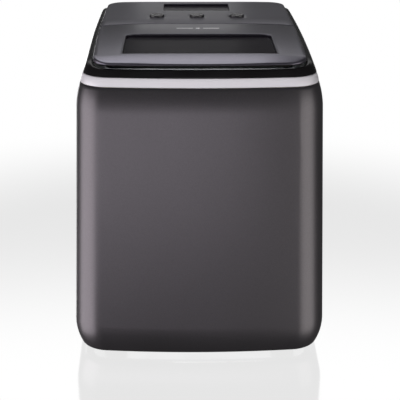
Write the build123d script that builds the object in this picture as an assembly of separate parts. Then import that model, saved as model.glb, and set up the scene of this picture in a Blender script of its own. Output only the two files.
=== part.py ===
from build123d import *
import math
import os

# Countertop ice maker: a rounded cabinet with a hinged, windowed lid, three buttons,
# a refrigeration circuit at the back and a water tub with its ice basket in front.
# Millimetres. +X is the machine's right seen from the front, +Y its back, +Z up.
# The origin is on the table, under the middle of the cabinet.

# Cabinet
DEPTH = 350.0
TOP_HALF_WIDTH = 121.8      # at the corners of the waist, under the trim band
BASE_HALF_WIDTH = 128.4     # the side walls lean out towards the base
TOP_Z = 315.0               # top face of the lid and the control panel
BASE_Z = 6.0                # underside of the cabinet, on its feet
WALL = 2.5
CORNER_RADIUS = 27.0
FRONT_BOW = 8.5
SIDE_BOW = 2.2              # the sides swell out by this much in the middle
REAR_SHARE = 0.5            # the back wall tucks in by half as much as the others
BASE_TUCK_Z = 36.0
BASE_TUCK_RADIUS = 60.0
BASE_EDGE_Z = 9.0
SHOULDER_Z = 260.0
SHOULDER_RADIUS = 86.0
BAND_Z = 287.5
BAND_TOP_Z = 296.5
BAND_TOP_INSET = 7.0
FAR = 200.0                 # beyond every part
FRONT_Y = -DEPTH / 2
BACK_Y = DEPTH / 2

# Top frame, lid and control panel
RAIL_Z = 308.0
FRONT_RAIL_Z = 304.0
LID_HALF_WIDTH = 104.4
LID_FRONT_Y = FRONT_Y + 14.0
LID_BACK_Y = 16.7
LID_BOTTOM_Z = 307.6
SKIN = 2.2
SKIN_Z = TOP_Z - SKIN
LID_GAP = 0.8
LID_BOW = 6.2
LID_LIP_Z = 308.8
LID_SLOPE = 11.0
LID_CORNER_RADIUS = 18.0
PANEL_FRONT_Y = 18.7
PANEL_BACK_Y = 161.0
PANEL_UNDERCUT = 1.3
PANEL_SLOPE = 2.0
WINDOW_HALF_WIDTH = 76.0
WINDOW_FRONT_Y = LID_FRONT_Y + 24.6
WINDOW_BACK_Y = WINDOW_FRONT_Y + 97.0
WINDOW_THICKNESS = 2.9
DISPLAY_HALF_WIDTH = 38.0
DISPLAY_FRONT_Y = 98.0
DISPLAY_BACK_Y = 145.0
BUTTON_Y = 63.4
BUTTON_PITCH = 45.0
BUTTON_RADIUS = 8.1
BUTTON_TRAVEL = 1.2
BUTTON_TOP_Z = TOP_Z + 2.2
BUTTON_EDGE = 1.0
BUTTON_DISH = 0.6
BUTTON_DISH_RADIUS = 40.0

# Lid hinge
HINGE_Y = 12.5
HINGE_Z = 308.0
HINGE_BOSS_RADIUS = 4.0
HINGE_PIN_RADIUS = 1.75
RUNNING_GAP = 0.05

# Tub and basket
TUB_HALF_WIDTH = 92.0
TUB_FRONT_Y = -152.0
TUB_BACK_Y = 6.0
TUB_FLOOR_Z = 120.0
TUB_WALL = 2.0
TUB_RIM_Z = 303.2
FLANGE_Z = 294.0
FLANGE_TOP_Z = 296.4
BASKET_HALF_WIDTH = 86.0
BASKET_FRONT_Y = -149.0
BASKET_BACK_Y = -60.0
BASKET_Z = 157.0
BASKET_TOP_Z = 245.0
BASKET_WALL = 2.0
LEDGE_Z = 156.7

# Ice making head
TRAY_Y = -26.0
TRAY_Z = 228.0
TRAY_RADIUS = 28.0
TRAY_WALL = 1.6
TRAY_HALF_LENGTH = 78.0
TRAY_SHAFT_RADIUS = 4.0
FINGER_RADIUS = 4.5
FINGER_PITCH = 30.0
FINGER_ROW_OFFSET = 11.0
FINGER_BOTTOM_Z = TRAY_Z - 20.0
MANIFOLD_Z = 262.0
MANIFOLD_TOP_Z = 276.0
PIPE_HEAD_Z = 268.0

# Machine bay
PLATE_TOP_Z = 8.5
COMPRESSOR_X = -60.0
COMPRESSOR_Y = 100.0
COMPRESSOR_RADIUS = 48.0
COMPRESSOR_Z = 24.0
COMPRESSOR_TOP_Z = 130.0
COMPRESSOR_WALL = 3.0
MOTOR_RADIUS = 36.0
MOTOR_TOP_Z = 92.0
FAN_X = 50.0
FAN_Z = 95.0
FAN_HOLE_RADIUS = 48.0
FAN_BLADE_RADIUS = 44.0
FAN_SHAFT_RADIUS = 2.0
CONDENSER_Y = 113.0
CONDENSER_ROWS = 6
CONDENSER_ROW_PITCH = 16.0
CONDENSER_LOW_Z = 55.0
CONDENSER_TUBE_RADIUS = 3.0
COVER_HALF_WIDTH = 98.0
COVER_Z = 38.0
COVER_TOP_Z = 252.0
COVER_FACE_Y = BACK_Y - 0.1
INLET_X = -35.0
INLET_Z = 56.0
DRAIN_X = -86.0
DRAIN_Z = 56.0
PUMP_X = 66.0
PUMP_Y = -14.0
PUMP_TOP_Z = 150.0
FOOT_X = 88.0
FOOT_Y = 135.0


def block(x0, x1, y0, y1, z0, z1):
    """A box between two corners."""
    middle = Pos((x0 + x1) / 2, (y0 + y1) / 2, (z0 + z1) / 2)
    return middle * Box(x1 - x0, y1 - y0, z1 - z0)


def rod_x(x0, x1, y, z, radius):
    return Pos((x0 + x1) / 2, y, z) * Rot(0, 90, 0) * Cylinder(radius, x1 - x0)


def rod_y(x, y0, y1, z, radius):
    return Pos(x, (y0 + y1) / 2, z) * Rot(90, 0, 0) * Cylinder(radius, y1 - y0)


def rod_z(x, y, z0, z1, radius):
    return Pos(x, y, (z0 + z1) / 2) * Cylinder(radius, z1 - z0)


def before(y):
    """All of the space in front of a plane across the machine."""
    return block(-FAR, FAR, -FAR, y, 0, 2 * FAR)


def behind(y):
    """All of the space behind a plane across the machine."""
    return block(-FAR, FAR, y, FAR, 0, 2 * FAR)


def tube_run(points, radius, bend):
    """A round pipe along straight runs joined by equal arcs."""
    path = FilletPolyline(*points, radius=bend)
    start = path.position_at(0)
    section = Plane(origin=start, z_dir=path.tangent_at(0)) * Circle(radius)
    return sweep(section, path=path)


def rounded_outline(x0, x1, y0, y1, front_radius, back_radius, bow=0.0):
    """A rectangle with its own front and back corner radii; the front edge may bow out."""
    if bow > 0:
        front = ThreePointArc((x0, y0 + bow), ((x0 + x1) / 2, y0), (x1, y0 + bow))
    else:
        front = Line((x0, y0), (x1, y0))
    rest = Polyline((x1, y0 + bow), (x1, y1), (x0, y1), (x0, y0 + bow))
    outline = make_face([front, rest])
    near_corners = outline.vertices().sort_by(Axis.Y)[0:2]
    outline = fillet(near_corners, front_radius)
    far_corners = outline.vertices().filter_by(lambda v: v.Y > y1 - 0.01)
    return fillet(far_corners, back_radius)


def rounded_slab(x0, x1, y0, y1, z0, z1, front_radius, back_radius, bow=0.0):
    """A flat slab on a rounded outline."""
    outline = rounded_outline(x0, x1, y0, y1, front_radius, back_radius, bow)
    return extrude(Pos(0, 0, z0) * outline, z1 - z0)


def ring_sector(inner, outer, start, end, x0, x1, y, z):
    """Part of a ring about an axis along X; angles in degrees from +Y towards +Z."""

    def at(radius, angle):
        turn = math.radians(angle)
        return (y + radius * math.cos(turn), z + radius * math.sin(turn))

    middle = (start + end) / 2
    outline = [
        ThreePointArc(at(outer, start), at(outer, middle), at(outer, end)),
        Line(at(outer, end), at(inner, end)),
        ThreePointArc(at(inner, end), at(inner, middle), at(inner, start)),
        Line(at(inner, start), at(outer, start)),
    ]
    face = Plane.YZ * make_face(outline)
    return extrude(Pos(x0, 0, 0) * face, x1 - x0, dir=(1, 0, 0))


def half_width(z):
    """Half the cabinet's width before any tuck: the walls lean out downwards."""
    share = (SHOULDER_Z - z) / (SHOULDER_Z - BASE_TUCK_Z)
    share = min(max(share, 0.0), 1.0)
    return TOP_HALF_WIDTH + share * (BASE_HALF_WIDTH - TOP_HALF_WIDTH)


def arc_inset(run, radius):
    return radius - math.sqrt(radius ** 2 - run ** 2)


def tuck(z):
    """How far the wall curves in at a height, at the base and at the shoulder."""
    if z > BAND_Z:
        start = arc_inset(BAND_Z - SHOULDER_Z, SHOULDER_RADIUS)
        share = (z - BAND_Z) / (BAND_TOP_Z - BAND_Z)
        return start + share * (BAND_TOP_INSET - start)
    if z > SHOULDER_Z:
        return arc_inset(z - SHOULDER_Z, SHOULDER_RADIUS)
    if z < BASE_TUCK_Z:
        edge = max(BASE_EDGE_Z - z, 0.0)
        return arc_inset(BASE_TUCK_Z - z, BASE_TUCK_RADIUS) + edge ** 2 / 5.0
    return 0.0


def bowed_outline(x, front, back, bow, radius):
    """A rounded rectangle whose front and sides swell out in the middle."""
    middle = (front + back) / 2
    edges = [
        ThreePointArc((-x, front + bow), (0, front), (x, front + bow)),
        ThreePointArc((x, front + bow), (x + SIDE_BOW, middle), (x, back)),
        Line((x, back), (-x, back)),
        ThreePointArc((-x, back), (-x - SIDE_BOW, middle), (-x, front + bow)),
    ]
    outline = make_face(edges)
    return fillet(outline.vertices(), radius)


def planform(z, inset):
    """The cabinet's outline at a height, shrunk by an inset."""
    return Pos(0, 0, z) * bowed_outline(half_width(z) - inset, FRONT_Y + inset,
                                        BACK_Y - REAR_SHARE * inset, FRONT_BOW,
                                        CORNER_RADIUS - 0.6 * inset)


def stack(levels):
    """A solid through the cabinet's outline at each (height, inset)."""
    return loft([planform(z, inset) for z, inset in levels], ruled=True)


def body_shell():
    heights = [BASE_Z, 7.5, BASE_EDGE_Z, 16, 22, 29, BASE_TUCK_Z, SHOULDER_Z, 270, 279, BAND_Z]
    outside = stack([(z, tuck(z)) for z in heights])
    inner_heights = [BASE_Z - 1] + heights[1:-1] + [BAND_Z + 1]
    inside = stack([(z, tuck(min(z, BAND_Z)) + WALL) for z in inner_heights])
    gap = 0.3
    opening = block(-COVER_HALF_WIDTH - gap, COVER_HALF_WIDTH + gap,
                    BACK_Y - 10, BACK_Y + 1, COVER_Z - gap, COVER_TOP_Z + gap)
    return outside - inside - opening


def trim_band():
    outside = stack([(BAND_Z, tuck(BAND_Z)), (BAND_TOP_Z, BAND_TOP_INSET)])
    hollow = stack([(BAND_Z - 1, 11.5), (BAND_TOP_Z + 1, 11.5)])
    return outside - hollow


def top_outline(side, front, back):
    """The shared outline of the lid and the control panel, moved in on each side."""
    radius = LID_CORNER_RADIUS - min(side, front)
    return bowed_outline(LID_HALF_WIDTH - side, LID_FRONT_Y + front, PANEL_BACK_Y - back,
                         LID_BOW, radius)


def top_slab(side, front, back, z0, z1):
    """A flat slab on that outline."""
    return extrude(Pos(0, 0, z0) * top_outline(side, front, back), z1 - z0)


def lid_opening(z0, z1, grow):
    """The space inside the frame's rails that the lid and the panel stand in."""
    return top_slab(-grow, -grow, -grow, z0, z1)


def top_frame():
    outside = stack([(BAND_TOP_Z, BAND_TOP_INSET), (303, 9.2), (306.5, 10.8), (RAIL_Z, 12.2)])
    frame = outside - lid_opening(BAND_TOP_Z - 1, RAIL_Z + 1, LID_GAP)
    slope = make_face(Polyline((FRONT_Y, FRONT_RAIL_Z), (LID_FRONT_Y, FRONT_RAIL_Z),
                               (-125, RAIL_Z + 0.01), (-125, RAIL_Z + 5), (FRONT_Y, RAIL_Z + 5),
                               close=True))
    low_end = extrude(Pos(-130, 0, 0) * (Plane.YZ * slope), 260, dir=(1, 0, 0))
    frame -= low_end
    grow = LID_GAP + 0.1
    deck = lid_opening(BAND_TOP_Z, BAND_TOP_Z + 2, grow)
    deck &= block(-120, 120, 24, BACK_Y, BAND_TOP_Z, BAND_TOP_Z + 2)
    wall = block(-104, 104, 24, 26, BAND_TOP_Z, 309)
    side = LID_HALF_WIDTH + grow
    wall += block(-side, side, 24, 26, BAND_TOP_Z, 303)
    posts = [rod_z(x, y, BAND_TOP_Z + 2, 299.4, 4) for x in (-78, 78) for y in (50, 150)]
    frame += deck + wall
    for post in posts:
        frame += post
    for x in (-40, 0, 40):
        frame -= rod_z(x, 34, BAND_TOP_Z - 1, BAND_TOP_Z + 3, 4)
    return frame


def top_skin():
    """The form that the lid and the panel share: an upright lip, a slope and a flat top."""
    levels = [(LID_BOTTOM_Z, 0.0, 0.0), (LID_LIP_Z, 0.0, 0.0), (TOP_Z - 1.2, 0.3, 0.75),
              (TOP_Z, 1.5, 1.0)]
    return loft([Pos(0, 0, z) * top_outline(side, share * LID_SLOPE, share * PANEL_SLOPE)
                 for z, side, share in levels], ruled=True)


def lid_shell():
    skin = top_skin() & before(LID_BACK_Y)
    hollow = top_slab(SKIN, SKIN + 7, 0, LID_BOTTOM_Z - 1, SKIN_Z)
    hollow += top_slab(SKIN, SKIN, 0, LID_BOTTOM_Z - 1, LID_BOTTOM_Z + 0.8)
    hollow &= before(LID_BACK_Y - SKIN)
    side = LID_HALF_WIDTH - SKIN
    notch = block(-side, -89.5, 8, LID_BACK_Y + 1, LID_BOTTOM_Z - 1, SKIN_Z)
    notch += block(89.5, side, 8, LID_BACK_Y + 1, LID_BOTTOM_Z - 1, SKIN_Z)
    window = rounded_slab(-WINDOW_HALF_WIDTH, WINDOW_HALF_WIDTH, WINDOW_FRONT_Y, WINDOW_BACK_Y,
                          SKIN_Z - 1, TOP_Z + 1, 2, 9)
    return skin - hollow - notch - window


def lid_window():
    grip = 4.0
    return rounded_slab(-WINDOW_HALF_WIDTH - grip, WINDOW_HALF_WIDTH + grip,
                        WINDOW_FRONT_Y - grip, WINDOW_BACK_Y + grip,
                        SKIN_Z - WINDOW_THICKNESS, SKIN_Z, 5, 11)


def hinge_pins():
    return [rod_x(88, 101.6, HINGE_Y, HINGE_Z, HINGE_PIN_RADIUS),
            rod_x(-101.6, -88, HINGE_Y, HINGE_Z, HINGE_PIN_RADIUS)]


def lid_inner_frame():
    top = SKIN_Z - WINDOW_THICKNESS
    ring = rounded_slab(-98, 98, -150, 12, 306, top, 18, 3, LID_BOW)
    ring -= rounded_slab(-74, 74, WINDOW_FRONT_Y + 2, WINDOW_BACK_Y - 2, 305, top + 1, 6, 6)
    for x0, x1 in ((90, 98), (-98, -90)):
        ring += rod_x(x0, x1, HINGE_Y, HINGE_Z, HINGE_BOSS_RADIUS)
    for pin in hinge_pins():
        ring -= pin
    return ring


def lid_seal():
    outer = rounded_slab(-96.5, 96.5, -149.5, 8, 303.5, 306, 17, 3, LID_BOW)
    return outer - rounded_slab(-88, 88, -143, 1, 303, 307, 12, 3, LID_BOW)


def lid_badge():
    return rounded_slab(-24, 24, -11, -6, TOP_Z, TOP_Z + 0.3, 2.4, 2.4)


def hinge_brackets():
    ears = []
    for x0, x1, foot0, foot1 in ((98.5, 101.8, 98.5, 104.6), (-101.8, -98.5, -104.6, -98.5)):
        ear = rod_x(x0, x1, HINGE_Y, HINGE_Z, HINGE_BOSS_RADIUS)
        ear += block(x0, x1, HINGE_Y - 3, HINGE_Y + 3, FLANGE_TOP_Z, HINGE_Z)
        ear += block(foot0, foot1, 4, 21, FLANGE_TOP_Z, FLANGE_TOP_Z + 2)
        ear -= rod_x(x0 - 1, x1 + 1, HINGE_Y, HINGE_Z, HINGE_PIN_RADIUS + RUNNING_GAP)
        ears.append(ear)
    return ears


def control_panel():
    skin = top_skin() & behind(PANEL_FRONT_Y)
    skin -= top_slab(SKIN, 0, SKIN + 3, LID_BOTTOM_Z - 1, SKIN_Z) & behind(PANEL_FRONT_Y - 1)
    skin -= block(-110, 110, PANEL_FRONT_Y - 1, 27, LID_BOTTOM_Z - 1, SKIN_Z)
    undercut = make_face(Polyline((PANEL_FRONT_Y - 2, TOP_Z - 1.2),
                                  (PANEL_FRONT_Y + 0.1, TOP_Z - 1.2),
                                  (PANEL_FRONT_Y + PANEL_UNDERCUT + 0.2, SKIN_Z - 0.1),
                                  (PANEL_FRONT_Y - 2, SKIN_Z - 0.1), close=True))
    skin -= extrude(Pos(-130, 0, 0) * (Plane.YZ * undercut), 260, dir=(1, 0, 0))
    skin -= rounded_slab(-DISPLAY_HALF_WIDTH, DISPLAY_HALF_WIDTH, DISPLAY_FRONT_Y,
                         DISPLAY_BACK_Y, SKIN_Z - 1, TOP_Z + 1, 3, 3)
    for x in button_places():
        skin -= rod_z(x, BUTTON_Y, SKIN_Z - 1, TOP_Z + 1, BUTTON_RADIUS + 0.35)
    return skin


def button_places():
    return [-BUTTON_PITCH, 0.0, BUTTON_PITCH]


def display_lens():
    grip = 3.0
    return rounded_slab(-DISPLAY_HALF_WIDTH - grip, DISPLAY_HALF_WIDTH + grip,
                        DISPLAY_FRONT_Y - grip, DISPLAY_BACK_Y + grip,
                        SKIN_Z - 2.1, SKIN_Z, 4, 4)


def display_module():
    return block(-34, 34, 102, 142, 301.0, 307.5) + block(-28, 28, 106, 138, 307.5, 310.5)


def control_board():
    board = block(-86, 86, 42, 156, 299.4, 301.0)
    for x, y in ((-60, 125), (62, 118), (62, 140), (-62, 104)):
        board += block(x - 8, x + 8, y - 6, y + 6, 301.0, 304.5)
    return board


def button_switches():
    return [block(x - 3.1, x + 3.1, BUTTON_Y - 3.1, BUTTON_Y + 3.1, 301.0, 304.0)
            for x in button_places()]


def push_button(x):
    cap = rod_z(x, BUTTON_Y, SKIN_Z - 0.5, BUTTON_TOP_Z, BUTTON_RADIUS)
    cap = fillet(cap.edges().group_by(Axis.Z)[-1], BUTTON_EDGE)
    dish = Sphere(BUTTON_DISH_RADIUS)
    cap -= Pos(x, BUTTON_Y, BUTTON_TOP_Z + BUTTON_DISH_RADIUS - BUTTON_DISH) * dish
    cap += rod_z(x, BUTTON_Y, 309.5, SKIN_Z - 0.3, BUTTON_RADIUS + 1.6)
    cap += rod_z(x, BUTTON_Y, 304.0 + BUTTON_TRAVEL + 0.15, 309.5, 2.5)
    return cap


def inner_liner():
    outer = TUB_WALL
    tub = rounded_slab(-TUB_HALF_WIDTH - outer, TUB_HALF_WIDTH + outer, TUB_FRONT_Y - outer,
                       TUB_BACK_Y + outer, TUB_FLOOR_Z - outer, TUB_RIM_Z, 10, 6)
    tub += rounded_slab(-109, 109, -158, 21, FLANGE_Z, FLANGE_TOP_Z, 22, 4, LID_BOW)
    tub -= rounded_slab(-TUB_HALF_WIDTH, TUB_HALF_WIDTH, TUB_FRONT_Y, TUB_BACK_Y,
                        TUB_FLOOR_Z, TUB_RIM_Z + 1, 8, 4)
    for x0, x1 in ((-TUB_HALF_WIDTH - 0.5, -84), (84, TUB_HALF_WIDTH + 0.5)):
        tub += block(x0, x1, -140, -70, LEDGE_Z - 4, LEDGE_Z)
    for x0, x1 in ((-96, -90), (90, 96)):
        tub -= rod_x(x0, x1, TRAY_Y, TRAY_Z, TRAY_SHAFT_RADIUS + RUNNING_GAP)
    for x, radius in ((0, 3.0), (40, 3.0), (-40, 1.2)):
        tub -= rod_y(x, 4, 10, PIPE_HEAD_Z, radius + 0.3)
    tub -= rod_x(-96, -90, -60, 126, 4.0)
    return tub


def liner_insulation():
    foam = rounded_slab(-108, 108, -162, 22, 104, BAND_Z - 0.5, 22, 4)
    gap = TUB_WALL + 0.3
    foam -= rounded_slab(-TUB_HALF_WIDTH - gap, TUB_HALF_WIDTH + gap, TUB_FRONT_Y - gap,
                         TUB_BACK_Y + gap, TUB_FLOOR_Z - gap, FLANGE_Z + 1, 10, 6)
    foam -= block(90, 120, -52, 0, 200, 256)
    foam -= block(-120, -90, -40, -12, 214, 242)
    foam -= block(-44, 44, 0, 30, 262, 274)
    foam -= block(-120, -90, -70, -50, 100, 136)
    return foam


def ice_basket():
    outer = rounded_slab(-BASKET_HALF_WIDTH, BASKET_HALF_WIDTH, BASKET_FRONT_Y, BASKET_BACK_Y,
                         BASKET_Z, BASKET_TOP_Z, 10, 8)
    inner = rounded_slab(-BASKET_HALF_WIDTH + BASKET_WALL, BASKET_HALF_WIDTH - BASKET_WALL,
                         BASKET_FRONT_Y + BASKET_WALL, BASKET_BACK_Y - BASKET_WALL,
                         BASKET_Z + BASKET_WALL, BASKET_TOP_Z + 1, 8, 6)
    basket = outer - inner
    slots = []
    for row in range(4):
        y = -134 + row * 20
        slots.append(block(-66, -6, y - 3, y + 3, BASKET_Z - 1, BASKET_Z + 4))
        slots.append(block(6, 66, y - 3, y + 3, BASKET_Z - 1, BASKET_Z + 4))
    for column in range(7):
        x = -66 + column * 22
        slots.append(block(x - 3, x + 3, BASKET_FRONT_Y - 1, BASKET_BACK_Y + 1, 175, 225))
    for slot in slots:
        basket -= slot
    return basket


def water_tray():
    outer = TRAY_RADIUS + TRAY_WALL
    end = TRAY_HALF_LENGTH
    trough = ring_sector(TRAY_RADIUS, outer, 180, 360, -end, end, TRAY_Y, TRAY_Z)
    for x0, x1 in ((-end, -end + TRAY_WALL), (end - TRAY_WALL, end)):
        disc = rod_x(x0, x1, TRAY_Y, TRAY_Z, TRAY_RADIUS + 0.1)
        disc -= block(-90, 90, TRAY_Y - 40, TRAY_Y + 40, TRAY_Z, TRAY_Z + 40)
        trough += disc
        trough += rod_x(x0, x1, TRAY_Y, TRAY_Z, 8)
    return trough


def tray_shafts():
    end = TRAY_HALF_LENGTH
    return [rod_x(end, 95.5, TRAY_Y, TRAY_Z, TRAY_SHAFT_RADIUS),
            rod_x(-95.5, -end, TRAY_Y, TRAY_Z, TRAY_SHAFT_RADIUS)]


def ice_shovel():
    inner = TRAY_RADIUS + TRAY_WALL
    blade = ring_sector(inner, inner + 1.4, 172, 200, -70, 70, TRAY_Y, TRAY_Z)
    for tooth in range(9):
        x = -64 + tooth * 16
        blade -= block(x - 4, x + 4, TRAY_Y - 40, TRAY_Y, TRAY_Z + 0.5, TRAY_Z + 10)
    return blade


def tray_motor():
    motor = block(96, 114, -46, -8, 206, 250)
    motor += rod_x(114, 117, -34, 236, 10)
    return motor


def freezing_fingers():
    fingers = []
    for row, count in ((-1, 5), (1, 4)):
        for index in range(count):
            x = (index - (count - 1) / 2) * FINGER_PITCH
            y = TRAY_Y + row * FINGER_ROW_OFFSET
            finger = rod_z(x, y, FINGER_BOTTOM_Z, MANIFOLD_Z, FINGER_RADIUS)
            fingers.append(fillet(finger.edges().group_by(Axis.Z)[0], 3.5))
    return fingers


def evaporator():
    return rounded_slab(-68, 68, TRAY_Y - 18, TRAY_Y + 18, MANIFOLD_Z, MANIFOLD_TOP_Z, 5, 5)


def evaporator_hanger():
    bar = block(-TUB_HALF_WIDTH, TUB_HALF_WIDTH, TRAY_Y - 10, TRAY_Y + 10,
                MANIFOLD_TOP_Z, MANIFOLD_TOP_Z + 2)
    return bar


def ice_level_sensors():
    return [block(-TUB_HALF_WIDTH, -88.5, -78, -66, 250, 262),
            block(88.5, TUB_HALF_WIDTH, -78, -66, 250, 262)]


def water_level_sensor():
    sensor = block(-TUB_HALF_WIDTH, -84, -30, -14, 128, 150)
    sensor += rod_z(-87, -26, 122, 128, 1.2)
    sensor += rod_z(-87, -18, 122, 128, 1.2)
    return sensor


def water_pump():
    pump = rod_z(PUMP_X, PUMP_Y, TUB_FLOOR_Z, PUMP_TOP_Z, 17)
    pump -= rod_z(PUMP_X, PUMP_Y, TUB_FLOOR_Z + 4, TUB_FLOOR_Z + 14, 13)
    pump -= rod_z(PUMP_X, PUMP_Y, TUB_FLOOR_Z + 13, TUB_FLOOR_Z + 20, 1.5 + RUNNING_GAP)
    for x in (-1, 1):
        pump -= block(PUMP_X + x * 12 - 6, PUMP_X + x * 12 + 6, PUMP_Y - 3, PUMP_Y + 3,
                      TUB_FLOOR_Z + 5, TUB_FLOOR_Z + 10)
    return pump


def pump_impeller():
    wheel = rod_z(PUMP_X, PUMP_Y, TUB_FLOOR_Z + 5, TUB_FLOOR_Z + 7, 12)
    wheel += rod_z(PUMP_X, PUMP_Y, TUB_FLOOR_Z + 5, TUB_FLOOR_Z + 19, 1.5)
    for index in range(6):
        vane = block(1, 11.5, -0.8, 0.8, TUB_FLOOR_Z + 6.5, TUB_FLOOR_Z + 12)
        wheel += Pos(PUMP_X, PUMP_Y, 0) * Rot(0, 0, index * 60) * vane
    return wheel


def water_hose():
    y = PUMP_Y + 6
    return tube_run([(PUMP_X, y, PUMP_TOP_Z), (PUMP_X, y, 168), (86, y, 168),
                     (86, y, 252), (68, y, 252), (68, y, 238)], 3.5, 7.5)


def foot_places():
    return [(x, y) for x in (-FOOT_X, FOOT_X) for y in (-FOOT_Y, FOOT_Y)]


def foot_screws():
    screws = []
    for x, y in foot_places():
        screws.append(rod_z(x, y, 1.5, 3.5, 4) + rod_z(x, y, 3.5, 12, 2))
    return screws


def rubber_feet():
    feet = []
    for x, y in foot_places():
        foot = rod_z(x, y, 0, BASE_Z, 12)
        foot = chamfer(foot.edges().group_by(Axis.Z)[0], 1)
        foot -= rod_z(x, y, -1, 3.5, 4) + rod_z(x, y, 3, 7, 2)
        feet.append(foot)
    return feet


def compressor_mounts():
    return [(COMPRESSOR_X + x, COMPRESSOR_Y + y) for x in (-46, 46) for y in (-31, 31)]


def base_plate():
    plate = stack([(BASE_Z, 17.5), (PLATE_TOP_Z, 17.5)])
    for index in range(8):
        y = -110 + index * 12
        plate -= block(-50, 50, y - 2, y + 2, BASE_Z - 1, PLATE_TOP_Z + 1)
    for x, y in foot_places():
        plate -= rod_z(x, y, BASE_Z - 1, PLATE_TOP_Z + 1, 2)
    for x, y in compressor_mounts():
        plate -= rod_z(x, y, BASE_Z - 1, PLATE_TOP_Z + 1, 2.5)
    return plate


def compressor():
    x, y = COMPRESSOR_X, COMPRESSOR_Y
    can = rod_z(x, y, COMPRESSOR_Z, COMPRESSOR_TOP_Z, COMPRESSOR_RADIUS)
    can = fillet(can.edges().group_by(Axis.Z)[-1], 28)
    inside = rod_z(x, y, COMPRESSOR_Z + COMPRESSOR_WALL, COMPRESSOR_TOP_Z - COMPRESSOR_WALL,
                   COMPRESSOR_RADIUS - COMPRESSOR_WALL)
    inside = fillet(inside.edges().group_by(Axis.Z)[-1], 25)
    can -= inside - rod_z(x, y, COMPRESSOR_Z, MOTOR_TOP_Z, MOTOR_RADIUS)
    front_y = y - COMPRESSOR_RADIUS
    can += rod_y(x + 14, front_y - 6, front_y + 4, 50, 3)
    can -= rod_y(x + 14, front_y - 7, front_y + 8, 50, 1.5)
    can += rod_z(x, y, 74, 78, COMPRESSOR_RADIUS + 1.5)
    can += block(x - 54, x + 54, y - 39, y + 39, COMPRESSOR_Z - 3, COMPRESSOR_Z)
    for hole_x, hole_y in compressor_mounts():
        can -= rod_z(hole_x, hole_y, COMPRESSOR_Z - 4, COMPRESSOR_Z + 6, 6)
    return can


def compressor_bolts():
    return [rod_z(x, y, BASE_Z, 31, 2.5) + rod_z(x, y, 27.5, 31, 5) for x, y in compressor_mounts()]


def compressor_grommets():
    grommets = []
    for x, y in compressor_mounts():
        grommet = rod_z(x, y, PLATE_TOP_Z, COMPRESSOR_Z - 3, 9)
        grommet += rod_z(x, y, COMPRESSOR_Z - 3, 27.5, 6)
        grommets.append(grommet - rod_z(x, y, PLATE_TOP_Z - 1, 30, 2.5))
    return grommets


def condenser_row_z(row):
    return CONDENSER_LOW_Z + row * CONDENSER_ROW_PITCH


def condenser_tube():
    tube = None
    for row in range(CONDENSER_ROWS):
        run = rod_x(2, 98, CONDENSER_Y, condenser_row_z(row), CONDENSER_TUBE_RADIUS)
        tube = run if tube is None else tube + run
    for row in range(CONDENSER_ROWS - 1):
        middle = condenser_row_z(row) + CONDENSER_ROW_PITCH / 2
        right_end = row % 2 == 1
        x = 98 if right_end else 2
        section = Plane(origin=(x, CONDENSER_Y, middle + CONDENSER_ROW_PITCH / 2),
                        z_dir=(1, 0, 0)) * Circle(CONDENSER_TUBE_RADIUS)
        turn = Axis((x, CONDENSER_Y, middle), (0, 1, 0) if right_end else (0, -1, 0))
        tube += revolve(section, turn, 180)
    return tube


def condenser_fins():
    fin = block(5.0, 5.5, CONDENSER_Y - 13, CONDENSER_Y + 13, 46, 144)
    for row in range(CONDENSER_ROWS):
        fin -= rod_x(4, 7, CONDENSER_Y, condenser_row_z(row), CONDENSER_TUBE_RADIUS)
    return [Pos(index * 5.0, 0, 0) * fin for index in range(18)]


def fan_shroud():
    shroud = block(FAN_X - 50, FAN_X + 50, 147, 163, FAN_Z - 50, FAN_Z + 50)
    shroud -= rod_y(FAN_X, 146, 164, FAN_Z, FAN_HOLE_RADIUS)
    shroud += rod_y(FAN_X, 147, 150, FAN_Z, 17)
    for index in range(4):
        strut = block(15, FAN_HOLE_RADIUS + 1, 147, 150, -2.5, 2.5)
        shroud += Pos(FAN_X, 0, FAN_Z) * Rot(0, 45 + 90 * index, 0) * strut
    return shroud - rod_y(FAN_X, 146, 151, FAN_Z, FAN_SHAFT_RADIUS + RUNNING_GAP)


def fan_motor():
    motor = rod_y(FAN_X, 130, 147, FAN_Z, 16)
    return motor - rod_y(FAN_X, 134, 148, FAN_Z, FAN_SHAFT_RADIUS + RUNNING_GAP)


def fan_rotor():
    rotor = rod_y(FAN_X, 151, 160, FAN_Z, 14)
    rotor += rod_y(FAN_X, 135, 152, FAN_Z, FAN_SHAFT_RADIUS)
    blade = Pos(28, 155.5, 0) * Rot(32, 0, 0) * Box(32, 1.2, 14)
    blade &= rod_y(0, 140, 170, 0, FAN_BLADE_RADIUS)
    for index in range(7):
        rotor += Pos(FAN_X, 0, FAN_Z) * Rot(0, index * 360 / 7, 0) * blade
    return rotor


def discharge_pipe():
    top = condenser_row_z(CONDENSER_ROWS - 1)
    return tube_run([(COMPRESSOR_X, COMPRESSOR_Y, COMPRESSOR_TOP_Z),
                     (COMPRESSOR_X, COMPRESSOR_Y, 168), (112, COMPRESSOR_Y, 168),
                     (112, COMPRESSOR_Y + 13, 168), (112, CONDENSER_Y, top),
                     (98, CONDENSER_Y, top)], 3.0, 6.0)


def liquid_pipe():
    low = CONDENSER_LOW_Z
    return tube_run([(98, CONDENSER_Y, low), (109, CONDENSER_Y, low), (109, CONDENSER_Y, 16),
                     (109, 158, 16), (-68, 158, 16), (-68, 158, 70)], 2.5, 5.0)


def filter_drier():
    drier = rod_z(-68, 158, 74, 128, 8)
    drier = fillet(drier.edges(), 4)
    return drier + rod_z(-68, 158, 70, 76, 2.5) + rod_z(-68, 158, 126, 132, 2.0)


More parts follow.
